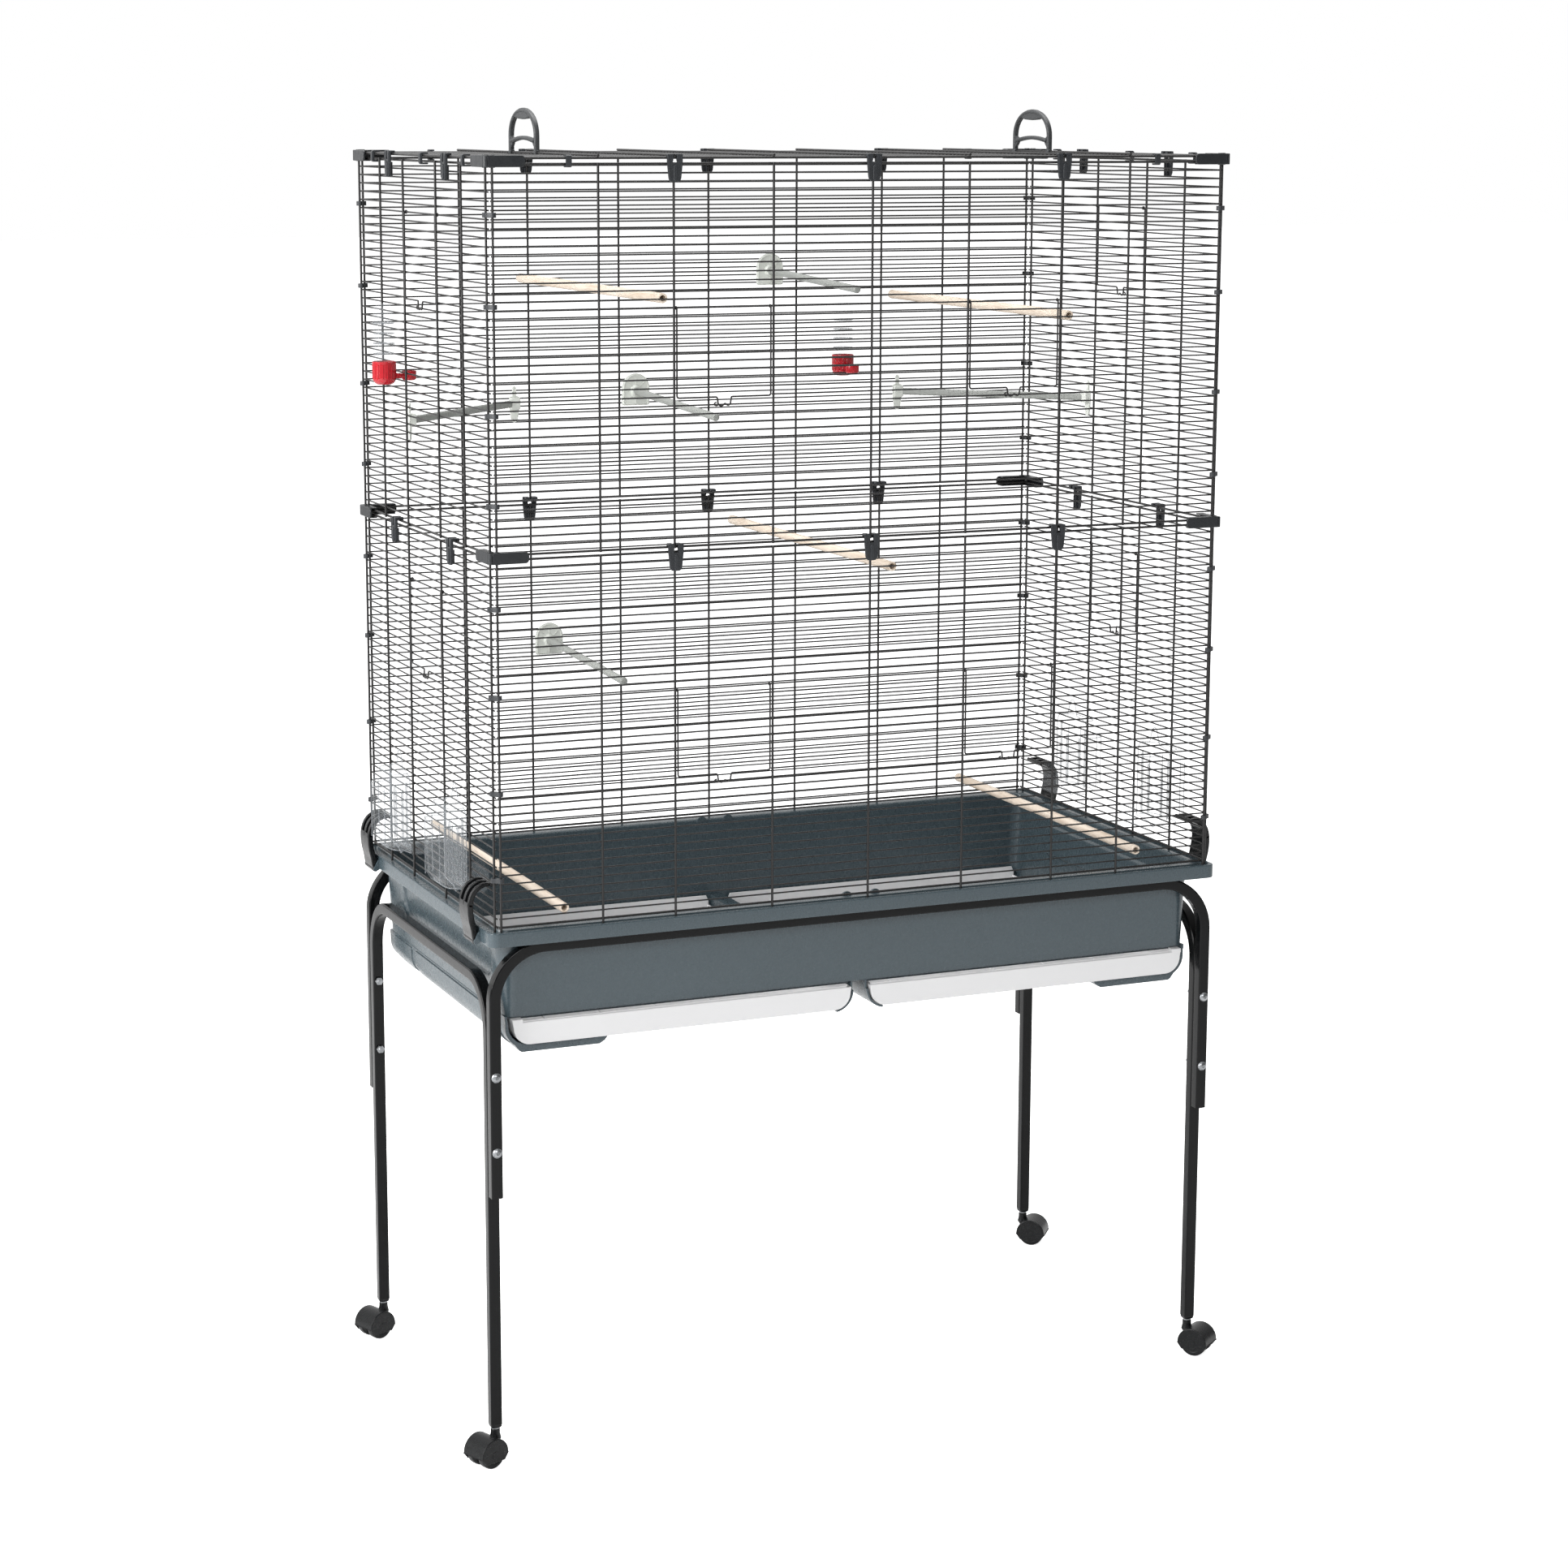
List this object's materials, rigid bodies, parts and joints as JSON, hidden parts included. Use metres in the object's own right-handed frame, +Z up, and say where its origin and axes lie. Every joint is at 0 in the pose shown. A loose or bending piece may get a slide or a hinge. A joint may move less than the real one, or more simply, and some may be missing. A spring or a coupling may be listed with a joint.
{
  "type": "bird cage on rolling stand",
  "caption": "Two-tier wire bird cage with hinged doors, deep tray with pull-out drawers, perches, feeders and fountains, on a tube stand with casters.",
  "frame": {"origin": "on the floor under the middle of the cage", "axes": "+Z up, -Y towards the front panel with the four doors and the drawers, +X along the cage's width"},
  "size_m": [1.0861, 0.5928, 1.691],
  "materials": {
    "tray_plastic": "moulded blue-grey plastic, satin",
    "drawer_plastic": "white moulded plastic, satin",
    "wire_coating": "dark grey powder coat on welded wire",
    "clip_plastic": "dark moulded plastic",
    "connector_plastic": "dark slate moulded plastic",
    "handle_plastic": "dark grey moulded plastic",
    "latch_plastic": "black moulded plastic",
    "perch_wood": "plain pale dowel",
    "perch_plastic": "pale translucent plastic",
    "clear_plastic": "clear moulded plastic",
    "red_plastic": "deep red moulded plastic",
    "stand_paint": "gloss black powder coat on steel tube",
    "zinc_steel": "zinc plated steel",
    "caster_plastic": "black moulded plastic",
    "wheel_plastic": "dark moulded nylon"
  },
  "bodies": {
    "cage": {"base_tray": "tray_plastic", "front_panel_lower": "wire_coating", "front_panel_upper": "wire_coating", "back_panel_lower": "wire_coating", "back_panel_upper": "wire_coating", "left_panel_lower": "wire_coating", "left_panel_upper": "wire_coating", "right_panel_lower": "wire_coating", "right_panel_upper": "wire_coating", "roof_panel": "wire_coating", "corner_clips": "clip_plastic", "mid_panel_clips": "clip_plastic", "top_panel_clips": "clip_plastic", "mid_corner_connectors": "connector_plastic", "top_corner_connectors": "connector_plastic", "edge_ring_clips": "clip_plastic", "wood_perches": "perch_wood", "disc_perches": "perch_plastic", "corner_perches": "perch_plastic", "feeder_hoppers": "clear_plastic", "feeder_trays": "clear_plastic", "fountain_tubes": "clear_plastic", "fountain_bases": "red_plastic", "front_frame": "stand_paint", "back_frame": "stand_paint", "side_frame_left": "stand_paint", "side_frame_right": "stand_paint", "frame_bolts": "zinc_steel", "frame_nuts": "zinc_steel", "leg_plugs": "caster_plastic", "caster_stems": "zinc_steel"},
    "door_front_lower_left": {"door_front_lower_left": "wire_coating"},
    "door_front_lower_right": {"door_front_lower_right": "wire_coating"},
    "door_front_upper_left": {"door_front_upper_left": "wire_coating"},
    "door_front_upper_right": {"door_front_upper_right": "wire_coating"},
    "door_left_lower": {"door_left_lower": "wire_coating"},
    "door_right_lower": {"door_right_lower": "wire_coating"},
    "door_left_upper": {"door_left_upper": "wire_coating"},
    "door_right_upper": {"door_right_upper": "wire_coating"},
    "drawer_left": {"drawer_left": "drawer_plastic"},
    "drawer_right": {"drawer_right": "drawer_plastic"},
    "handle_left": {"handle_left": "handle_plastic"},
    "handle_right": {"handle_right": "handle_plastic"},
    "latch_front_left": {"latch_front_left": "latch_plastic"},
    "latch_front_right": {"latch_front_right": "latch_plastic"},
    "latch_back_left": {"latch_back_left": "latch_plastic"},
    "latch_back_right": {"latch_back_right": "latch_plastic"},
    "caster_front_left": {"caster_fork_front_left": "caster_plastic"},
    "wheel_front_left_a": {"wheel_front_left_a": "wheel_plastic"},
    "wheel_front_left_b": {"wheel_front_left_b": "wheel_plastic"},
    "caster_front_right": {"caster_fork_front_right": "caster_plastic"},
    "wheel_front_right_a": {"wheel_front_right_a": "wheel_plastic"},
    "wheel_front_right_b": {"wheel_front_right_b": "wheel_plastic"},
    "caster_back_left": {"caster_fork_back_left": "caster_plastic"},
    "wheel_back_left_a": {"wheel_back_left_a": "wheel_plastic"},
    "wheel_back_left_b": {"wheel_back_left_b": "wheel_plastic"},
    "caster_back_right": {"caster_fork_back_right": "caster_plastic"},
    "wheel_back_right_a": {"wheel_back_right_a": "wheel_plastic"},
    "wheel_back_right_b": {"wheel_back_right_b": "wheel_plastic"}
  },
  "joints": [
    {"name": "door_front_lower_left_hinge", "type": "hinge", "parent": "cage", "child": "door_front_lower_left", "pos_m": [-0.1986, -0.26945, 0.9817], "axis": [-1, 0, 0], "range_deg": [0, 120]},
    {"name": "door_front_lower_right_hinge", "type": "hinge", "parent": "cage", "child": "door_front_lower_right", "pos_m": [0.1986, -0.26945, 0.9817], "axis": [-1, 0, 0], "range_deg": [0, 120]},
    {"name": "door_front_upper_left_hinge", "type": "hinge", "parent": "cage", "child": "door_front_upper_left", "pos_m": [-0.1986, -0.26945, 1.4521], "axis": [-1, 0, 0], "range_deg": [0, 120]},
    {"name": "door_front_upper_right_hinge", "type": "hinge", "parent": "cage", "child": "door_front_upper_right", "pos_m": [0.1986, -0.26945, 1.4521], "axis": [-1, 0, 0], "range_deg": [0, 120]},
    {"name": "door_left_lower_hinge", "type": "hinge", "parent": "cage", "child": "door_left_lower", "pos_m": [-0.49745, 0, 1.0897], "axis": [0, 1, 0], "range_deg": [0, 120]},
    {"name": "door_right_lower_hinge", "type": "hinge", "parent": "cage", "child": "door_right_lower", "pos_m": [0.49745, 0, 1.0897], "axis": [0, -1, 0], "range_deg": [0, 120]},
    {"name": "door_left_upper_hinge", "type": "hinge", "parent": "cage", "child": "door_left_upper", "pos_m": [-0.49745, 0, 1.5601], "axis": [0, 1, 0], "range_deg": [0, 120]},
    {"name": "door_right_upper_hinge", "type": "hinge", "parent": "cage", "child": "door_right_upper", "pos_m": [0.49745, 0, 1.5601], "axis": [0, -1, 0], "range_deg": [0, 120]},
    {"name": "drawer_left_slide", "type": "slide", "parent": "cage", "child": "drawer_left", "axis": [0, -1, 0], "range_m": [0, 0.4]},
    {"name": "drawer_right_slide", "type": "slide", "parent": "cage", "child": "drawer_right", "axis": [0, -1, 0], "range_m": [0, 0.4]},
    {"name": "handle_left_fold", "type": "hinge", "parent": "cage", "child": "handle_left", "pos_m": [-0.3609, 0, 1.63495], "axis": [0, 1, 0], "range_deg": [-78, 78]},
    {"name": "handle_right_fold", "type": "hinge", "parent": "cage", "child": "handle_right", "pos_m": [0.3609, 0, 1.63495], "axis": [0, 1, 0], "range_deg": [-78, 78]},
    {"name": "latch_front_left_pivot", "type": "hinge", "parent": "cage", "child": "latch_front_left", "pos_m": [-0.5152, -0.218, 0.6785], "axis": [0, -1, 0], "range_deg": [0, 60]},
    {"name": "latch_front_right_pivot", "type": "hinge", "parent": "cage", "child": "latch_front_right", "pos_m": [0.5152, -0.218, 0.6785], "axis": [0, 1, 0], "range_deg": [0, 60]},
    {"name": "latch_back_left_pivot", "type": "hinge", "parent": "cage", "child": "latch_back_left", "pos_m": [-0.5152, 0.218, 0.6785], "axis": [0, -1, 0], "range_deg": [0, 60]},
    {"name": "latch_back_right_pivot", "type": "hinge", "parent": "cage", "child": "latch_back_right", "pos_m": [0.5152, 0.218, 0.6785], "axis": [0, 1, 0], "range_deg": [0, 60]},
    {"name": "caster_front_left_swivel", "type": "hinge", "parent": "cage", "child": "caster_front_left", "pos_m": [-0.502, -0.2475, 0.04], "axis": [0, 0, 1], "continuous": true},
    {"name": "wheel_front_left_a_spin", "type": "hinge", "parent": "caster_front_left", "child": "wheel_front_left_a", "pos_m": [-0.51637, -0.25331, 0.0185], "axis": [0.3746, -0.9272, 0], "continuous": true},
    {"name": "wheel_front_left_b_spin", "type": "hinge", "parent": "caster_front_left", "child": "wheel_front_left_b", "pos_m": [-0.51637, -0.25331, 0.0185], "axis": [0.3746, -0.9272, 0], "continuous": true},
    {"name": "caster_front_right_swivel", "type": "hinge", "parent": "cage", "child": "caster_front_right", "pos_m": [0.502, -0.2475, 0.04], "axis": [0, 0, 1], "continuous": true},
    {"name": "wheel_front_right_a_spin", "type": "hinge", "parent": "caster_front_right", "child": "wheel_front_right_a", "pos_m": [0.51133, -0.25988, 0.0185], "axis": [0.7986, 0.6018, 0], "continuous": true},
    {"name": "wheel_front_right_b_spin", "type": "hinge", "parent": "caster_front_right", "child": "wheel_front_right_b", "pos_m": [0.51133, -0.25988, 0.0185], "axis": [0.7986, 0.6018, 0], "continuous": true},
    {"name": "caster_back_left_swivel", "type": "hinge", "parent": "cage", "child": "caster_back_left", "pos_m": [-0.502, 0.2475, 0.04], "axis": [0, 0, 1], "continuous": true},
    {"name": "wheel_back_left_a_spin", "type": "hinge", "parent": "caster_back_left", "child": "wheel_back_left_a", "pos_m": [-0.51637, 0.24169, 0.0185], "axis": [0.3746, -0.9272, 0], "continuous": true},
    {"name": "wheel_back_left_b_spin", "type": "hinge", "parent": "caster_back_left", "child": "wheel_back_left_b", "pos_m": [-0.51637, 0.24169, 0.0185], "axis": [0.3746, -0.9272, 0], "continuous": true},
    {"name": "caster_back_right_swivel", "type": "hinge", "parent": "cage", "child": "caster_back_right", "pos_m": [0.502, 0.2475, 0.04], "axis": [0, 0, 1], "continuous": true},
    {"name": "wheel_back_right_a_spin", "type": "hinge", "parent": "caster_back_right", "child": "wheel_back_right_a", "pos_m": [0.51405, 0.23775, 0.0185], "axis": [0.6293, 0.7771, 0], "continuous": true},
    {"name": "wheel_back_right_b_spin", "type": "hinge", "parent": "caster_back_right", "child": "wheel_back_right_b", "pos_m": [0.51405, 0.23775, 0.0185], "axis": [0.6293, 0.7771, 0], "continuous": true}
  ]
}
